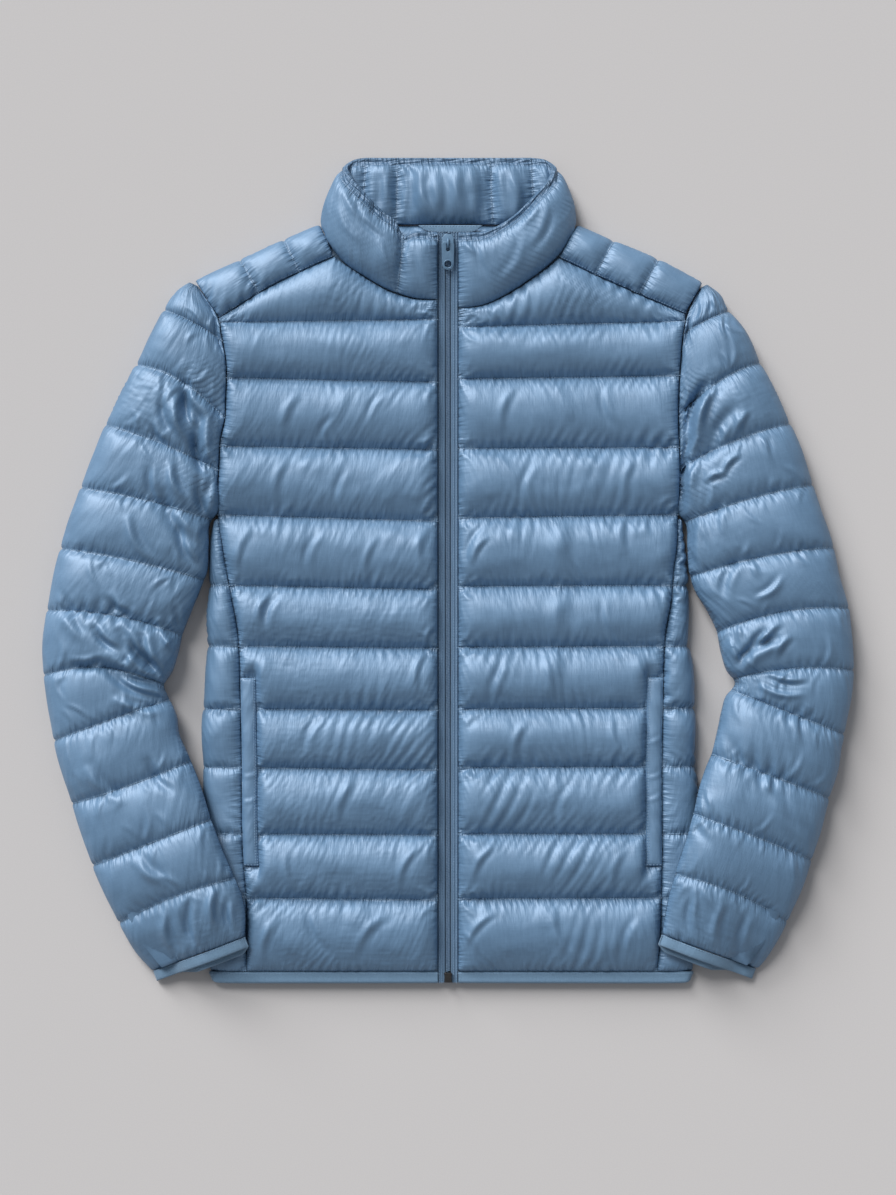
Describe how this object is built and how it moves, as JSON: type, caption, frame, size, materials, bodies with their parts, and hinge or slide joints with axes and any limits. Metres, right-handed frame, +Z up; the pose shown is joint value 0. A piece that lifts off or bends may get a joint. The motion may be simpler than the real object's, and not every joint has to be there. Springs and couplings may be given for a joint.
{
  "type": "puffer jacket",
  "caption": "Light quilted down jacket with stand collar, front zip and bound cuffs and hem, lying flat on its back with its sleeves beside and over its sides.",
  "frame": {"origin": "on the surface the jacket lies on, under the middle of its bounding box", "axes": "+Z up from the surface, +Y from hem to collar, +X across the jacket towards the right of someone who looks down on its front"},
  "size_m": [0.7462, 0.763, 0.0455],
  "materials": {
    "shell": "light satin nylon, calendered, quilted over down",
    "binding": "matt stretch binding",
    "zip_tape": "matt woven tape",
    "zip_coil": "nylon coil",
    "zip_metal": "satin paint",
    "zip_stop": "dark plated"
  },
  "bodies": {
    "jacket": {"back": "shell", "front_left": "shell", "front_right": "shell", "yoke_left": "shell", "yoke_right": "shell", "side_left": "shell", "side_right": "shell", "sleeve_left": "shell", "sleeve_right": "shell", "collar": "shell", "pocket_welt_left": "shell", "pocket_welt_right": "shell", "hem_binding": "binding", "cuff_binding_left": "binding", "cuff_binding_right": "binding", "hanger_loop": "binding", "zip_tape_left": "zip_tape", "zip_tape_right": "zip_tape", "zip_coil": "zip_coil", "zip_stop": "zip_stop", "zip_slider": "zip_metal"},
    "pull_tab": {"zip_pull": "zip_metal"}
  },
  "joints": [
    {"name": "pull_hinge", "type": "hinge", "parent": "jacket", "child": "pull_tab", "pos_m": [0, 0.301, 0.0262], "axis": [-1, 0, 0], "range_deg": [0, 165]}
  ]
}
